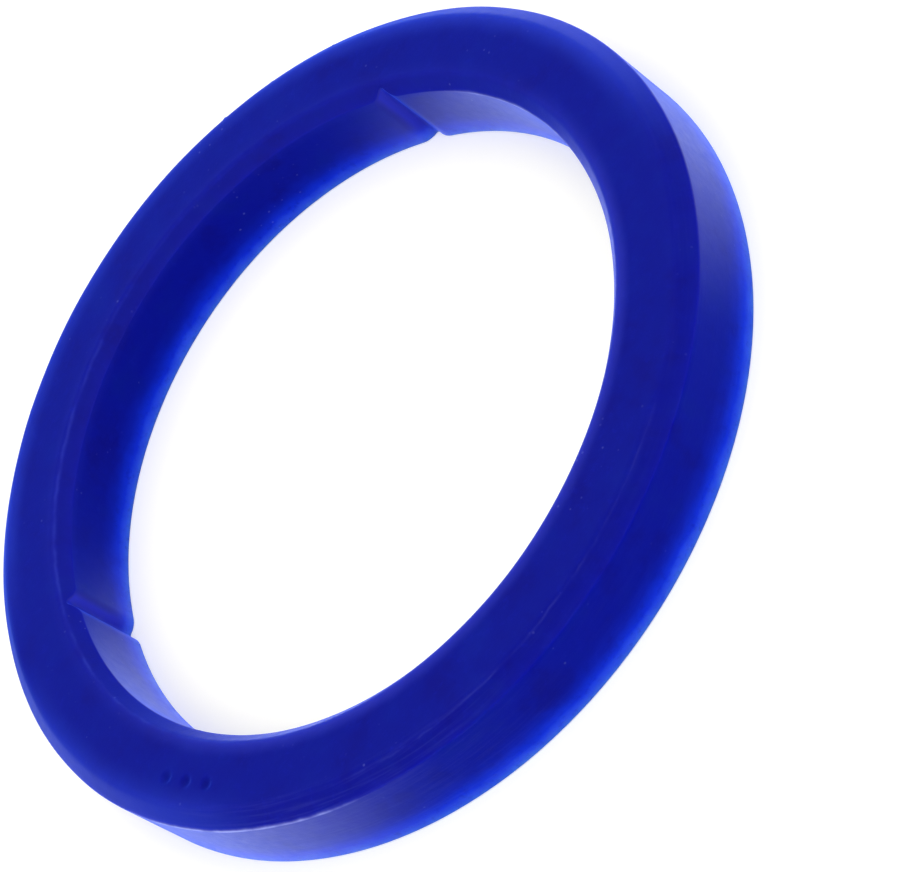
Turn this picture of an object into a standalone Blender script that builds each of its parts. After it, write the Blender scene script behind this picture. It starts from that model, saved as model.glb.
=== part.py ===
"""A group head gasket: one ring of moulded silicone rubber, lying on its plain back face.

The ring has a bevelled rim and a chamfered bore on its upper face, and grooves with
rounded mouths that run down the whole height of the bore. Units are metres, +Z is up,
and the origin is the centre of the back face.
"""

import math

import bmesh
import bpy

# The ring: its bore is the outer diameter less the wall on each side, 57 mm here
OUTER_DIAMETER = 0.073
WALL_WIDTH = 0.008
THICKNESS = 0.0085

# The bevel round the rim and the chamfer round the bore, both on the upper face
BEVEL_WIDTH = 0.0014
BEVEL_HEIGHT = 0.00115
CHAMFER_WIDTH = 0.00105
CHAMFER_HEIGHT = 0.0012

# The radii of the edges, wide where the flat face turns into the bevel and the chamfer
CHAMFER_FOOT_RADIUS = 0.00025
FLAT_INNER_RADIUS = 0.0008
FLAT_OUTER_RADIUS = 0.0012
RIM_EDGE_RADIUS = 0.0003
BACK_EDGE_RADIUS = 0.0002

# The grooves down the bore
GROOVE_COUNT = 3
GROOVE_DEPTH = 0.0007
GROOVE_HOLLOW_RADIUS = 0.0004
GROOVE_MOUTH_RADIUS = 0.0019
FIRST_GROOVE_ANGLE = math.radians(30)

# How finely round forms are divided
RING_SEGMENTS = 144
EDGE_SEGMENTS = 3
HOLLOW_SEGMENTS = 6
MOUTH_SEGMENTS = 7

# How far a cutter reaches past the faces that it cuts
CUTTER_OVERLAP = 0.001
MERGE_DISTANCE = 0.00001

# Worked out from the sizes above
RIM_RADIUS = OUTER_DIAMETER / 2
BORE_RADIUS = RIM_RADIUS - WALL_WIDTH


def clear_scene():
    """Removes every object, so that the script can run again from an open file."""
    for obj in list(bpy.data.objects):
        bpy.data.objects.remove(obj, do_unlink=True)


def silicone_material():
    """Deep blue silicone rubber with a soft satin face."""
    material = bpy.data.materials.new("blue_silicone")
    material.use_nodes = True
    shader = material.node_tree.nodes["Principled BSDF"]
    shader.inputs["Base Color"].default_value = (0.008, 0.014, 0.33, 1.0)
    shader.inputs["Roughness"].default_value = 0.45
    shader.inputs["Metallic"].default_value = 0.0
    material.diffuse_color = (0.008, 0.014, 0.33, 1.0)
    return material


def arc(centre, radius, start, end, segments):
    """Points along an arc in a plane, from one angle to the other, both ends included."""
    points = []
    for step in range(segments + 1):
        angle = start + (end - start) * step / segments
        points.append((centre[0] + radius * math.cos(angle), centre[1] + radius * math.sin(angle)))
    return points


def rounded_corner(before, corner, after, radius, segments):
    """Points of the fillet that replaces a convex corner of a clockwise outline."""
    into = math.atan2(corner[1] - before[1], corner[0] - before[0])
    out_of = math.atan2(after[1] - corner[1], after[0] - corner[0])
    turn = (into - out_of) % math.tau
    back = radius * math.tan(turn / 2)
    start = (corner[0] - back * math.cos(into), corner[1] - back * math.sin(into))
    centre = (start[0] + radius * math.sin(into), start[1] - radius * math.cos(into))
    return arc(centre, radius, into + math.pi / 2, into + math.pi / 2 - turn, segments)


def ring_section():
    """The ring's cross section as (radius, height) points, clockwise from the bore chamfer's foot."""
    corners = [
        ((BORE_RADIUS, THICKNESS - CHAMFER_HEIGHT), CHAMFER_FOOT_RADIUS),
        ((BORE_RADIUS + CHAMFER_WIDTH, THICKNESS), FLAT_INNER_RADIUS),
        ((RIM_RADIUS - BEVEL_WIDTH, THICKNESS), FLAT_OUTER_RADIUS),
        ((RIM_RADIUS, THICKNESS - BEVEL_HEIGHT), RIM_EDGE_RADIUS),
        ((RIM_RADIUS, 0.0), BACK_EDGE_RADIUS),
        ((BORE_RADIUS, 0.0), BACK_EDGE_RADIUS),
    ]
    points = []
    for index, (corner, radius) in enumerate(corners):
        before = corners[index - 1][0]
        after = corners[(index + 1) % len(corners)][0]
        points.extend(rounded_corner(before, corner, after, radius, EDGE_SEGMENTS))
    return points


def groove_outline():
    """One groove in plan, centred on +X: a small round hollow whose mouth flares into the bore.

    Each mouth radius touches both the hollow and the bore, so its centre lies a mouth
    radius outside each.
    """
    hollow_centre = BORE_RADIUS + GROOVE_DEPTH - GROOVE_HOLLOW_RADIUS
    mouth_distance = BORE_RADIUS + GROOVE_MOUTH_RADIUS
    reach = GROOVE_HOLLOW_RADIUS + GROOVE_MOUTH_RADIUS
    cosine = (hollow_centre**2 + mouth_distance**2 - reach**2) / (2 * hollow_centre * mouth_distance)
    mouth_angle = math.acos(cosine)
    mouth_centre = (mouth_distance * math.cos(mouth_angle), mouth_distance * math.sin(mouth_angle))
    towards_hollow = math.atan2(-mouth_centre[1], hollow_centre - mouth_centre[0])
    towards_bore = mouth_angle - math.pi

    inner = BORE_RADIUS - CUTTER_OVERLAP
    mouth = arc(mouth_centre, GROOVE_MOUTH_RADIUS, towards_bore, towards_hollow, MOUTH_SEGMENTS)
    hollow_start = towards_hollow + math.pi
    hollow = arc(
        (hollow_centre, 0.0), GROOVE_HOLLOW_RADIUS, hollow_start, -hollow_start, HOLLOW_SEGMENTS
    )
    upper_side = [(inner * math.cos(mouth_angle), inner * math.sin(mouth_angle))] + mouth
    lower_side = [(x, -y) for x, y in reversed(upper_side)]
    return upper_side + hollow[1:-1] + lower_side


def add_mesh_object(name, mesh_data):
    """Puts the finished bmesh into a new object in the scene."""
    mesh = bpy.data.meshes.new(name)
    mesh_data.to_mesh(mesh)
    mesh_data.free()
    obj = bpy.data.objects.new(name, mesh)
    bpy.context.scene.collection.objects.link(obj)
    return obj


def make_groove_cutters():
    """All the grooves' prisms in one hidden object, spaced evenly round the bore."""
    cutters = bmesh.new()
    outline = groove_outline()
    height = THICKNESS + 2 * CUTTER_OVERLAP
    for index in range(GROOVE_COUNT):
        angle = FIRST_GROOVE_ANGLE + math.tau * index / GROOVE_COUNT
        corners = []
        for x, y in outline:
            turned_x = x * math.cos(angle) - y * math.sin(angle)
            turned_y = x * math.sin(angle) + y * math.cos(angle)
            corners.append(cutters.verts.new((turned_x, turned_y, -CUTTER_OVERLAP)))
        base = cutters.faces.new(corners)
        grown = bmesh.ops.extrude_face_region(cutters, geom=[base])["geom"]
        raised = [item for item in grown if isinstance(item, bmesh.types.BMVert)]
        bmesh.ops.translate(cutters, verts=raised, vec=(0.0, 0.0, height))
    bmesh.ops.recalc_face_normals(cutters, faces=cutters.faces)
    obj = add_mesh_object("groove_cutters", cutters)
    obj.hide_render = True
    obj.display_type = "WIRE"
    return obj


def make_gasket():
    """The section swept round the axis, then the grooves cut from its bore."""
    section = bmesh.new()
    verts = [section.verts.new((radius, 0.0, height)) for radius, height in ring_section()]
    for index, vert in enumerate(verts):
        section.edges.new((vert, verts[(index + 1) % len(verts)]))
    gasket = add_mesh_object("group_gasket", section)
    gasket.data.materials.append(silicone_material())

    sweep = gasket.modifiers.new("ring_sweep", "SCREW")
    sweep.axis = "Z"
    sweep.angle = math.tau
    sweep.steps = RING_SEGMENTS
    sweep.render_steps = RING_SEGMENTS
    sweep.use_merge_vertices = True
    sweep.merge_threshold = MERGE_DISTANCE
    sweep.use_smooth_shade = True

    grooves = gasket.modifiers.new("bore_grooves", "BOOLEAN")
    grooves.operation = "DIFFERENCE"
    grooves.solver = "EXACT"
    grooves.object = make_groove_cutters()
    return gasket


clear_scene()
make_gasket()
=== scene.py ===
import math

import bmesh
import bpy
from mathutils import Matrix, Vector, noise


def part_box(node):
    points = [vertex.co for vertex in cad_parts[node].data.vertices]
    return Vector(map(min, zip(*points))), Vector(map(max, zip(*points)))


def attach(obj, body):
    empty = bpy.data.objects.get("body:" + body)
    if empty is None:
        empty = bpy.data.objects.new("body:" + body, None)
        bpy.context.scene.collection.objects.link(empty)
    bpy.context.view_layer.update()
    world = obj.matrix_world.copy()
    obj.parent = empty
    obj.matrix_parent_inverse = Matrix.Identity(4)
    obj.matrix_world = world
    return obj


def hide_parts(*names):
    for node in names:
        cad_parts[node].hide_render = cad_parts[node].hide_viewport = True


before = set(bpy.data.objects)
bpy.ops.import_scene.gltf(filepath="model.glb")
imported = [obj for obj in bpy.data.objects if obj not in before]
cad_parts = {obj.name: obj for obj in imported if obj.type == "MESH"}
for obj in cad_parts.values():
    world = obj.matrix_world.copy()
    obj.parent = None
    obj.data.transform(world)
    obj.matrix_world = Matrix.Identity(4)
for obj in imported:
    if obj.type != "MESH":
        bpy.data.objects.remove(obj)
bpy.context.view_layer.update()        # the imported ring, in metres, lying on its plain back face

mm = 0.001
black, white = (0, 0, 0, 1), (1, 1, 1, 1)


# Shader maths: a socket that can be added, multiplied and so on
class Field:
    def __init__(self, tree, socket=None):
        self.tree = tree
        self.socket = socket

    def node(self, kind, settings, values, output=0):
        made = self.tree.nodes.new(kind)
        for name, setting in settings.items():
            if name == "stops":      # a colour ramp's stops, as (place, colour)
                ramp = made.color_ramp
                while len(ramp.elements) < len(setting):
                    ramp.elements.new(0.5)
                for element, (place, colour) in zip(ramp.elements, setting):
                    element.position = place
                    element.color = colour
            else:
                setattr(made, name, setting)
        for key, value in values.items():
            if isinstance(value, Field):
                self.tree.links.new(value.socket, made.inputs[key])
            else:
                made.inputs[key].default_value = value
        return Field(self.tree, made.outputs[output])

    def maths(self, operation, first, second=0.0):
        return self.node("ShaderNodeMath", {"operation": operation}, {0: first, 1: second})

    def __add__(self, other):
        return self.maths("ADD", self, other)

    def __radd__(self, other):
        return self.maths("ADD", other, self)

    def __sub__(self, other):
        return self.maths("SUBTRACT", self, other)

    def __rsub__(self, other):
        return self.maths("SUBTRACT", other, self)

    def __mul__(self, other):
        return self.maths("MULTIPLY", self, other)

    def __rmul__(self, other):
        return self.maths("MULTIPLY", other, self)

    def __truediv__(self, other):
        return self.maths("DIVIDE", self, other)

    def __pow__(self, power):
        return self.maths("POWER", self, power)


def smooth(value, low, high):      # 0 at low, 1 at high, eased between
    return value.node("ShaderNodeMapRange", {"interpolation_type": "SMOOTHSTEP"},
                      {"Value": value, "From Min": low, "From Max": high})


def mixColours(mask, first, second):
    return mask.node("ShaderNodeMix", {"data_type": "RGBA"}, {0: mask, 6: first, 7: second}, 2)


def speckle(place, scale, detail, roughness=0.5):      # noise with so many lumps per mm
    return place.node("ShaderNodeTexNoise", {},
                      {"Vector": place, "Scale": scale, "Detail": detail, "Roughness": roughness})


# The ring, as a section carried round the axis
ring = {
    "boreRadius": 28.5 * mm,
    "bevelWidth": 1.4 * mm,
    "bevelHeight": 1.15 * mm,
    "chamferWidth": 1.05 * mm,
    "chamferHeight": 1.2 * mm,
    "chamferFootRounding": 0.25 * mm,
    "flatInnerRounding": 0.8 * mm,
    "flatOuterRounding": 1.2 * mm,
    "rimEdgeRounding": 0.3 * mm,
    "backEdgeRounding": 0.2 * mm,
    "fullChamfer": 0.6 * mm,                # a chamfer shorter than this has smaller roundings
    "roundingSteps": 5,
    "runSteps": (4, 26, 4, 14, 4, 14),      # chamfer, flat, bevel, rim, back, bore
    "turnSteps": 660,
    "grooveCount": 3,
    "grooveDepth": 0.7 * mm,
    "grooveHollow": 0.4 * mm,
    "grooveMouth": 1.9 * mm,
    "firstGroove": 30,                      # degrees
    "mouthSteps": 14,
    "hollowSteps": 5,
    "unevenness": 0.03 * mm,                # slow waves left by the mould
    "waveLength": 7.0 * mm,
    "inwards": 0.8,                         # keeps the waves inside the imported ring
    "steadyHeight": 0.4 * mm,               # they fade below this, so the back stays flat
}

pips = {      # three small round hollows on the flat face, a plain mould mark
    "angles": (194.5, 198.5, 202.5),
    "fromAxis": 33.0 * mm,
    "radius": 0.6 * mm,
    "depth": 0.2 * mm,
    "flatDepth": 0.2 * mm,                  # what lies this near the top counts as the flat
    "fineArc": (192, 205),                  # degrees with twice the stations
}

nicks = {     # bits of flash on the bevel, as (degrees, then radius, size and height in mm)
    "places": ((61, 35.9, 0.22, 0.09), (52, 35.6, 0.3, 0.08), (41, 35.9, 0.25, 0.1),
               (83, 35.7, 0.2, 0.08), (112, 35.6, 0.2, 0.06), (318, 35.2, 0.25, 0.05)),
    "steepness": 2,
    "reach": 2.5,                           # in sizes
}


def polar(angle, length=1):      # a point in plan, or a direction
    return length * Vector((math.cos(angle), math.sin(angle)))


def arcPoints(centre, radius, start, end, steps):
    return [centre + polar(start + (end - start) * step / steps, radius)
            for step in range(steps + 1)]


def roundedCorner(before, corner, after, radius, steps):
    into = math.atan2(corner.y - before.y, corner.x - before.x)
    outOf = math.atan2(after.y - corner.y, after.x - corner.x)
    turn = (into - outOf) % math.tau
    start = corner - polar(into, radius * math.tan(turn / 2))
    centre = start + radius * Vector((math.sin(into), -math.cos(into)))
    return arcPoints(centre, radius, into + math.pi / 2, into + math.pi / 2 - turn, steps)


def sectionAt(bore, rim, top):      # the cross section as (radius, height), for one bore radius
    chamferSlope = ring["chamferHeight"] / ring["chamferWidth"]
    foot = top - ring["chamferHeight"] + (bore - ring["boreRadius"]) * chamferSlope
    corners = [
        (Vector((bore, foot)), ring["chamferFootRounding"]),
        (Vector((ring["boreRadius"] + ring["chamferWidth"], top)), ring["flatInnerRounding"]),
        (Vector((rim - ring["bevelWidth"], top)), ring["flatOuterRounding"]),
        (Vector((rim, top - ring["bevelHeight"])), ring["rimEdgeRounding"]),
        (Vector((rim, 0)), ring["backEdgeRounding"]),
        (Vector((bore, 0)), ring["backEdgeRounding"]),
    ]
    chamferLeft = (corners[1][0] - corners[0][0]).length      # a groove cuts into it
    share = min(1, chamferLeft / ring["fullChamfer"])
    bends = []
    for index, (corner, radius) in enumerate(corners):
        before = corners[index - 1][0]
        after = corners[(index + 1) % len(corners)][0]
        fitted = radius * share if index < 2 else radius      # the chamfer's own two edges
        bends.append(roundedCorner(before, corner, after, fitted, ring["roundingSteps"]))
    points = []
    for index, bend in enumerate(bends):
        points += bend
        after = bends[(index + 1) % len(bends)][0]
        steps = ring["runSteps"][index]
        points += [bend[-1].lerp(after, step / steps) for step in range(1, steps)]
    return points


def groovePlan():      # one groove as (angle, bore radius), centred on angle 0
    bore, mouth, hollow = ring["boreRadius"], ring["grooveMouth"], ring["grooveHollow"]
    hollowCentre = bore + ring["grooveDepth"] - hollow
    mouthDistance = bore + mouth
    reach = hollow + mouth
    mouthAngle = math.acos((hollowCentre ** 2 + mouthDistance ** 2 - reach ** 2)
                           / (2 * hollowCentre * mouthDistance))
    mouthCentre = polar(mouthAngle, mouthDistance)
    towardsHollow = math.atan2(-mouthCentre.y, hollowCentre - mouthCentre.x)
    flare = arcPoints(mouthCentre, mouth, mouthAngle - math.pi, towardsHollow,
                      ring["mouthSteps"])
    bottom = arcPoints(Vector((hollowCentre, 0)), hollow, towardsHollow + math.pi, 0,
                       ring["hollowSteps"])
    upper = [(math.atan2(point.y, point.x), point.length) for point in flare + bottom[1:]]
    lower = [(-angle, radius) for angle, radius in upper[:-1]]
    return lower + upper[::-1]


def ringPlan():      # the whole bore as (angle, radius) all the way round
    groove = groovePlan()
    half = groove[-1][0]
    pitch = math.tau / ring["grooveCount"]
    steps = ring["turnSteps"] // ring["grooveCount"]
    land = pitch - 2 * half
    stations = []
    for index in range(ring["grooveCount"]):
        middle = math.radians(ring["firstGroove"]) + pitch * index
        stations += [(middle + angle, radius) for angle, radius in groove]
        for step in range(1, steps):
            angle = middle + half + land * step / steps
            stations.append((angle, ring["boreRadius"]))
            first, last = pips["fineArc"]
            if first < math.degrees(angle) % 360 < last:
                stations.append((angle + land / steps / 2, ring["boreRadius"]))
    return stations


def dent(angle, point, top):      # how far the mould's marks push the surface out, in metres
    push = 0
    across = polar(angle, point.x)
    for degrees in pips["angles"]:
        middle = polar(math.radians(degrees), pips["fromAxis"])
        away = (across - middle).length / pips["radius"]
        if point.y > top - pips["flatDepth"] and away < 1:
            push -= pips["depth"] * (1 - away * away)
    for degrees, radius, size, height in nicks["places"]:
        middle = polar(math.radians(degrees), radius) * mm
        away = (across - middle).length / (size * mm)
        if point.y > top / 2 and away < nicks["reach"]:
            push += height * mm * math.exp(-away * away * nicks["steepness"])
    return push


def makeRing():
    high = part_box("group_gasket")[1]
    rim, top = high.x, high.z
    mesh = bmesh.new()
    loops = []
    for angle, bore in ringPlan():
        outwards = polar(angle).to_3d()
        section = sectionAt(bore, rim, top)
        loop = []
        for index, point in enumerate(section):
            along = section[(index + 1) % len(section)] - section[index - 1]
            normal = Vector((-along.y, along.x)).normalized()
            where = outwards * point.x + Vector((0, 0, point.y))
            wave = noise.noise(where / ring["waveLength"]) - ring["inwards"]
            wave *= ring["unevenness"] * min(1, point.y / ring["steadyHeight"])
            outOfFace = outwards * normal.x + Vector((0, 0, normal.y))
            loop.append(mesh.verts.new(where + (wave + dent(angle, point, top)) * outOfFace))
        loops.append(loop)
    for index, loop in enumerate(loops):
        following = loops[(index + 1) % len(loops)]
        for place, corner in enumerate(loop):
            after = (place + 1) % len(loop)
            mesh.faces.new((corner, following[place], following[after], loop[after]))
    bmesh.ops.recalc_face_normals(mesh, faces=mesh.faces)
    for face in mesh.faces:
        face.smooth = True
    data = bpy.data.meshes.new("gasket_ring")
    mesh.to_mesh(data)
    mesh.free()
    made = bpy.data.objects.new("gasket_ring", data)
    bpy.context.scene.collection.objects.link(made)
    print("ring:", len(data.vertices), "points,", 2 * len(data.polygons), "triangles")
    return made


# The silicone, with lengths in mm: the bore is at 28.5, the rim at 36.5, the flat at 8.5.
# A noise is (lumps per mm, detail, roughness) and a band is (where it starts, where it is
# full). A side is (degrees round the ring, then a band in which 1 is that place and -1 is
# the place opposite).
silicone = {
    "shader": {
        "IOR": 1.41,
        "Specular IOR Level": 0.15,
        "Sheen Weight": 1.0,
        "Sheen Roughness": 0.39,
        "Sheen Tint": (0.05, 0.14, 1, 1),
        "Subsurface Weight": 1.0,
        "Subsurface Radius": (0.6, 0.9, 2.0),
        "Subsurface Scale": mm,
    },
    # the body colour, and a painted glow along the thin back edges
    "bodyAndBackGlow": [                              # height above the back face, colour
        (0.0, (0.05, 0.16, 0.9, 1)),
        (0.5, (0.027, 0.09, 0.8, 1)),
        (1.3, (0.003, 0.024, 0.62, 1)),
        (2.4, (0.0015, 0.008, 0.38, 1)),
        (3.6, (0.001, 0.003, 0.27, 1)),
        (7.4, (0.001, 0.003, 0.27, 1)),
        (8.4, (0.001, 0.003, 0.235, 1)),
    ],
    "drift": {"noise": (0.5, 2), "reach": 0.9},      # how far the shades wander
    "mottling": {"noise": (0.22, 3, 0.6), "amount": 0.7, "above": (1.5, 3.5),
                 "cool": (0.5, 0.7), "warm": (0.5, 0.3)},
    "clouds": {"noise": (1.1, 5, 0.75), "amount": 0.3,
               "light": (0.52, 0.72), "warm": (0.48, 0.28)},
    "cooler": (0.001, 0.006, 0.25, 1),
    "warmer": (0.002, 0.001, 0.19, 1),
    "lighter": (0.003, 0.008, 0.36, 1),
    # painted light in the grooves: a brighter blue that lifts their shade
    "groove": {"colour": (0.001, 0.006, 0.46, 1), "depth": (28.55, 28.85), "back": (29.5, 29.3),
               "height": (0.8, 2.4), "chamfer": (7.25, 6.9)},
    "glowHeight": (6.3, 7.3),                  # light comes through the thin upper edges
    "outerGlow": {"colour": (0.018, 0.045, 0.56, 1), "amount": 0.65, "fromAxis": (33.0, 35.9),
                  "drift": 0.5, "side": (60, -0.1, 0.4), "second": (183, 0.86, 0.99),
                  "secondShare": 0.6},
    "innerGlow": {"colour": (0.03, 0.04, 0.46, 1), "amount": 0.6, "fromAxis": (31.0, 29.4),
                  "drift": 0.4, "side": (265, -0.2, 0.9), "least": 0.15},
    "waver": {"noise": (0.8, 3), "reach": 0.3},      # the painted highlight lines wander and break up
    "breaks": {"noise": (0.45, 3), "band": (0.35, 0.65)},
    "flatInnerLine": {"middle": 29.5, "width": 0.12, "side": (170, -0.3, 0.8), "least": 0.25,
                      "amount": 0.13, "height": (7.0, 7.6)},
    "flatOuterLine": {"middle": 35.15, "width": 0.08, "side": (255, 0.7, 0.95), "least": 0.2,
                      "amount": 0.025},
    "rimLine": {"middle": 7.25, "width": 0.13, "side": (206, 0.92, 0.98), "least": 0.3,
                "amount": 0.6, "fromAxis": (36.2, 36.35)},
    "boreLine": {"middle": 7.2, "width": 0.15, "side": (352, 0.9, 0.99), "least": 0.4,
                 "amount": 0.6, "fromAxis": (28.75, 28.6)},
    "paintedInnerHighlight": (0.06, 0.1, 0.62, 1),            # the painted highlight colour of the flat's inner line
    "dustAndPaintedHighlight": (0.3, 0.34, 0.75, 1),             # the painted highlight colour of the other lines and the streaks, and the colour of the dust
    # mould streaks, painted pale as highlights, strongest on one side of the ring
    "streaks": {"noise": (1.6, 3), "round": 5, "across": 3, "band": (0.4, 0.8),
                "fromAxis": (34.0, 35.4), "side": (224, 0.85, 0.98), "least": 0.3,
                "amount": 0.025},
    "dust": {"scale": 0.9, "size": (0.13, 0.06), "noise": (0.12, 2), "patches": (0.5, 0.7),
             "amount": 0.15},
    "satin": {"roughness": 0.42, "noise": (1.2, 4), "spread": 0.2},
    "grain": {"noise": (3.5, 5, 0.6), "streaks": 0.1, "strength": 0.2, "depth": 0.04 * mm},
}


def siliconeMaterial():
    material = bpy.data.materials.new("blue_silicone")
    material.use_nodes = True
    tree = material.node_tree
    shader = tree.nodes["Principled BSDF"]
    for socket, value in silicone["shader"].items():
        shader.inputs[socket].default_value = value

    start = Field(tree)
    objectPlace = start.node("ShaderNodeTexCoord", {}, {}, "Object")
    place = start.node("ShaderNodeVectorMath", {"operation": "SCALE"},
                       {0: objectPlace, "Scale": 1 / mm})
    x, y, height = [start.node("ShaderNodeSeparateXYZ", {}, {0: place}, axis) for axis in "XYZ"]
    fromAxis = (x * x + y * y) ** 0.5

    def sided(degrees, low, high):
        side = polar(math.radians(degrees))
        return smooth((x * side.x + y * side.y) / fromAxis, low, high)

    # the body colour, with a painted glow: brighter towards the thin back edges, standing in for
    # light that comes through them
    drift = (speckle(place, *silicone["drift"]["noise"]) - 0.5) * silicone["drift"]["reach"]
    reach = silicone["bodyAndBackGlow"][-1][0]
    stops = [(level / reach, colour) for level, colour in silicone["bodyAndBackGlow"]]
    colour = start.node("ShaderNodeValToRGB", {"stops": stops}, {0: (height + drift) / reach})

    # slow mottling above the back edges, and small clouds all over
    mottling, clouds = silicone["mottling"], silicone["clouds"]
    mottle = speckle(place, *mottling["noise"])
    amount = smooth(height, *mottling["above"]) * mottling["amount"]
    colour = mixColours(smooth(mottle, *mottling["cool"]) * amount, colour, silicone["cooler"])
    colour = mixColours(smooth(mottle, *mottling["warm"]) * amount, colour, silicone["warmer"])
    cloud, amount = speckle(place, *clouds["noise"]), clouds["amount"]
    colour = mixColours(smooth(cloud, *clouds["light"]) * amount, colour, silicone["lighter"])
    colour = mixColours(smooth(cloud, *clouds["warm"]) * amount, colour, silicone["warmer"])

    # painted light: the grooves are painted a brighter blue, up to the foot of the chamfer,
    # lifting the shade that falls in them
    groove = silicone["groove"]
    paintedGrooveLight = smooth(fromAxis, *groove["depth"]) * smooth(fromAxis, *groove["back"])
    chamferSlope = ring["chamferHeight"] / ring["chamferWidth"]
    underChamfer = height - (fromAxis - ring["boreRadius"] / mm) * chamferSlope
    paintedGrooveLight = paintedGrooveLight * smooth(height, *groove["height"])
    paintedGrooveLight = paintedGrooveLight * smooth(underChamfer, *groove["chamfer"])
    colour = mixColours(paintedGrooveLight, colour, groove["colour"])

    # light that comes through the thin upper edges
    outer, inner = silicone["outerGlow"], silicone["innerGlow"]
    upper = smooth(height, *silicone["glowHeight"])
    glow = smooth(fromAxis + drift * outer["drift"], *outer["fromAxis"]) * upper
    glow = glow * (sided(*outer["side"]) + sided(*outer["second"]) * outer["secondShare"])
    colour = mixColours(glow * outer["amount"], colour, outer["colour"])
    glow = smooth(fromAxis + drift * inner["drift"], *inner["fromAxis"]) * upper
    glow = glow * (inner["least"] + (1 - inner["least"]) * sided(*inner["side"]))
    colour = mixColours(glow * inner["amount"], colour, inner["colour"])

    # painted highlights: soft pale lines along the flat's two edges, the rim and the bore, each
    # strongest on the side of the ring where light catches it
    waver = (speckle(place, *silicone["waver"]["noise"]) - 0.5) * silicone["waver"]["reach"]
    breaks = silicone["breaks"]
    broken = smooth(speckle(place, *breaks["noise"]), *breaks["band"])

    def paintedHighlightLine(line, across):
        away = (across - line["middle"]) / line["width"]
        shown = start.maths("EXPONENT", away * away * -1)
        return shown * sided(*line["side"]) * (line["least"] + broken) * line["amount"]

    line = silicone["flatInnerLine"]
    flatInner = paintedHighlightLine(line, fromAxis + waver) * smooth(height, *line["height"])
    flatOuter = paintedHighlightLine(silicone["flatOuterLine"], fromAxis + waver)
    line = silicone["rimLine"]
    onRim = paintedHighlightLine(line, height + waver * 0.5) * smooth(fromAxis, *line["fromAxis"])
    line = silicone["boreLine"]
    onBore = paintedHighlightLine(line, height + waver * 0.5) * smooth(fromAxis, *line["fromAxis"])
    colour = mixColours(flatInner, colour, silicone["paintedInnerHighlight"])
    colour = mixColours(flatOuter + onRim + onBore, colour, silicone["dustAndPaintedHighlight"])

    # fine streaks round the bevel and rim, as the mould was turned, partly painted highlight:
    # pale, and strongest on the side where light catches them
    streaks = silicone["streaks"]
    stretched = start.node("ShaderNodeCombineXYZ", {}, {
        "X": start.maths("ARCTAN2", y, x) * streaks["round"],
        "Y": fromAxis * streaks["across"], "Z": height * streaks["across"]})
    streak = speckle(stretched, *streaks["noise"])
    onBevel = smooth(fromAxis, *streaks["fromAxis"])
    amount = onBevel * (streaks["least"] + sided(*streaks["side"])) * streaks["amount"]
    colour = mixColours(smooth(streak, *streaks["band"]) * amount, colour, silicone["dustAndPaintedHighlight"])

    # specks of dust, in patches
    dust = silicone["dust"]
    away = start.node("ShaderNodeTexVoronoi", {}, {"Vector": place, "Scale": dust["scale"]},
                      "Distance")
    amount = smooth(speckle(place, *dust["noise"]), *dust["patches"]) * dust["amount"]
    colour = mixColours(smooth(away, *dust["size"]) * amount, colour, silicone["dustAndPaintedHighlight"])

    # an uneven satin with a fine grain
    satin, grain = silicone["satin"], silicone["grain"]
    roughness = satin["roughness"] + (speckle(place, *satin["noise"]) - 0.5) * satin["spread"]
    relief = speckle(place, *grain["noise"]) + streak * onBevel * grain["streaks"]
    bump = start.node("ShaderNodeBump", {}, {
        "Height": relief, "Strength": grain["strength"], "Distance": grain["depth"]}, "Normal")
    tree.links.new(colour.socket, shader.inputs["Base Color"])
    tree.links.new(roughness.socket, shader.inputs["Roughness"])
    tree.links.new(bump.socket, shader.inputs["Normal"])
    return material


gasketRing = makeRing()
gasketRing.data.materials.append(siliconeMaterial())
print("silicone: one material,", len(gasketRing.active_material.node_tree.nodes), "nodes")
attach(gasketRing, "root")
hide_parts("group_gasket")


# The room, with what the silicone mirrors of it set apart from what lights it
room = {
    "floorColour": (0.88, 0.87, 0.775, 1),
    "floorReach": 1.2,                          # metres from its middle to its edges
    "floorShader": {"Roughness": 0.9, "Specular IOR Level": 0.0, "Emission Strength": 1.0},
    "floorGlow": 0.24,
    "mirroredFloor": (1.9, 2.0, 2.0, 1),        # this pale at the sides, dark along the middle
    "paleSides": (0.58, 1.0),                   # 0 is straight in front or behind, 1 to a side
    "world": white,
    "mirroredWall": (0.045, 0.06, 0.065, 1),
    "mirroredCeiling": (0.03, 0.04, 0.043, 1),
    "ceilingRise": (0.25, 0.5),                 # how steeply a ray rises to meet the ceiling
    "lamps": {                                  # place, size, watts
        "top_softbox": ((-0.1, -0.3, 0.9), 0.8, 2.0),
        "front_softbox": ((0.1, -0.7, 0.5), 0.6, 1.0),
    },
}


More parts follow.
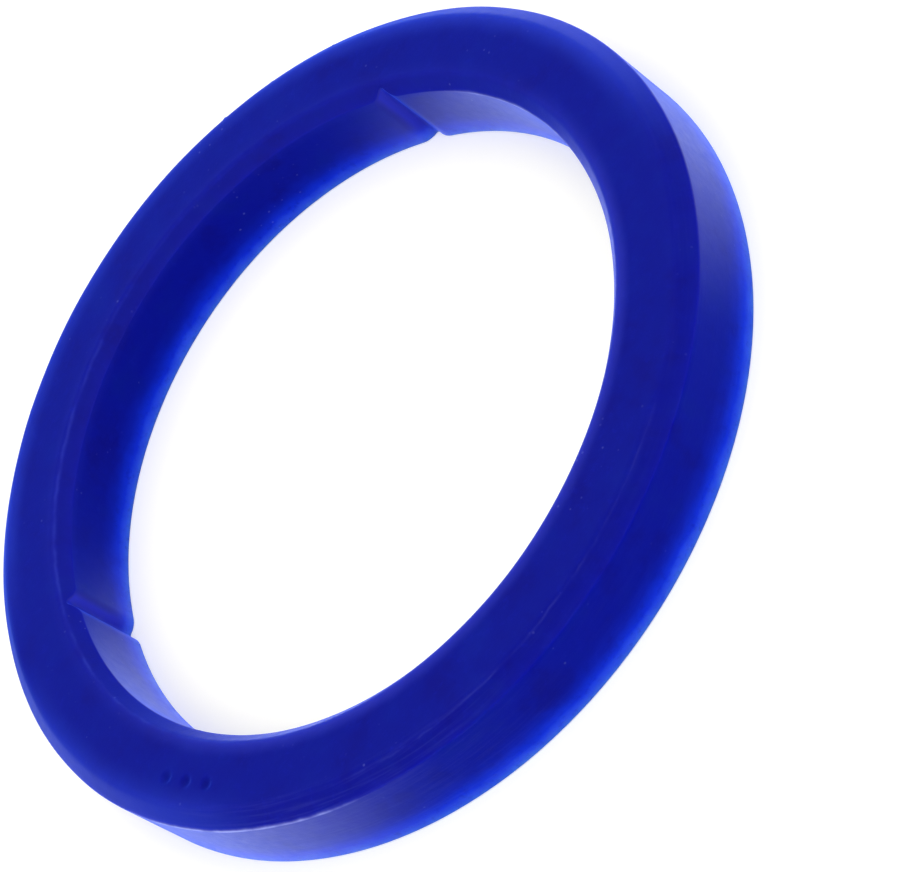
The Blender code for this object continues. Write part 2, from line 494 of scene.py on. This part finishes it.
def makeFloor():
    mesh = bmesh.new()
    bmesh.ops.create_grid(mesh, x_segments=2, y_segments=2, size=room["floorReach"])
    data = bpy.data.meshes.new("floor")
    mesh.to_mesh(data)
    mesh.free()
    floor = bpy.data.objects.new("floor", data)
    bpy.context.scene.collection.objects.link(floor)
    material = bpy.data.materials.new("pale_floor")
    material.use_nodes = True
    tree = material.node_tree
    shader = tree.nodes["Principled BSDF"]
    for socket, value in room["floorShader"].items():
        shader.inputs[socket].default_value = value
    start = Field(tree)
    seen = start.node("ShaderNodeLightPath", {}, {}, "Is Camera Ray")
    mirrored = start.node("ShaderNodeLightPath", {}, {}, "Is Glossy Ray")
    place = start.node("ShaderNodeTexCoord", {}, {}, "Object")
    x, y = [start.node("ShaderNodeSeparateXYZ", {}, {0: place}, axis) for axis in "XY"]
    sideways = start.maths("ABSOLUTE", x) / (x * x + y * y) ** 0.5
    pale = smooth(sideways, *room["paleSides"])
    base = mixColours(mirrored * (1 - pale), room["floorColour"], black)
    lit = mixColours(seen * room["floorGlow"], black, white)
    lit = mixColours(mirrored * pale, lit, room["mirroredFloor"])
    tree.links.new(base.socket, shader.inputs["Base Color"])
    tree.links.new(lit.socket, shader.inputs["Emission Color"])
    data.materials.append(material)
    return floor


def makeWorld():
    world = bpy.data.worlds.new("studio")
    world.use_nodes = True
    tree = world.node_tree
    start = Field(tree)
    mirrored = start.node("ShaderNodeLightPath", {}, {}, "Is Glossy Ray")
    direction = start.node("ShaderNodeTexCoord", {}, {}, "Generated")
    rise = start.node("ShaderNodeSeparateXYZ", {}, {0: direction}, "Z")
    reflected = mixColours(smooth(rise, *room["ceilingRise"]),
                           room["mirroredWall"], room["mirroredCeiling"])
    colour = mixColours(mirrored, room["world"], reflected)
    tree.links.new(colour.socket, tree.nodes["Background"].inputs["Color"])
    bpy.context.scene.world = world


def makeLamps():
    for name, (place, size, watts) in room["lamps"].items():
        data = bpy.data.lights.new(name, "AREA")
        data.shape = "DISK"
        data.size = size
        data.energy = watts
        lamp = bpy.data.objects.new(name, data)
        lamp.location = place
        lamp.visible_glossy = False      # the silicone mirrors the room, not the lamps
        lamp.rotation_euler = (-Vector(place)).to_track_quat("-Z", "Y").to_euler()
        bpy.context.scene.collection.objects.link(lamp)


makeFloor()
makeWorld()
makeLamps()
print("room: floor, world and", len(room["lamps"]), "lamps")


# The camera, at the photograph's angle
camera = {
    "aim": (2.585 * mm, -11.28 * mm, 4.25 * mm),
    "distance": 267.73 * mm,
    "elevation": 42.333,      # degrees above the floor
    "azimuth": 3.077,         # degrees that the view turns from +Y towards +X
    "roll": 56.673,
    "lens": 135.298,
    "sensorWidth": 36,
}


def makeCamera():
    elevation, azimuth = math.radians(camera["elevation"]), math.radians(camera["azimuth"])
    forward = Vector((math.sin(azimuth) * math.cos(elevation),
                      math.cos(azimuth) * math.cos(elevation), -math.sin(elevation)))
    right = forward.cross(Vector((0, 0, 1))).normalized()
    up = right.cross(forward)
    roll = math.radians(camera["roll"])
    rolledRight = right * math.cos(roll) - up * math.sin(roll)
    rolledUp = up * math.cos(roll) + right * math.sin(roll)
    turn = Matrix((rolledRight, rolledUp, -forward)).transposed().to_4x4()
    place = Vector(camera["aim"]) - forward * camera["distance"]
    data = bpy.data.cameras.new("studio_camera")
    data.lens = camera["lens"]
    data.sensor_width = camera["sensorWidth"]
    made = bpy.data.objects.new("studio_camera", data)
    made.matrix_world = Matrix.Translation(place) @ turn
    bpy.context.scene.collection.objects.link(made)
    bpy.context.scene.camera = made
    print("camera: right", rolledRight[:], "up", rolledUp[:])


makeCamera()
bpy.context.scene.view_settings.view_transform = "Standard"
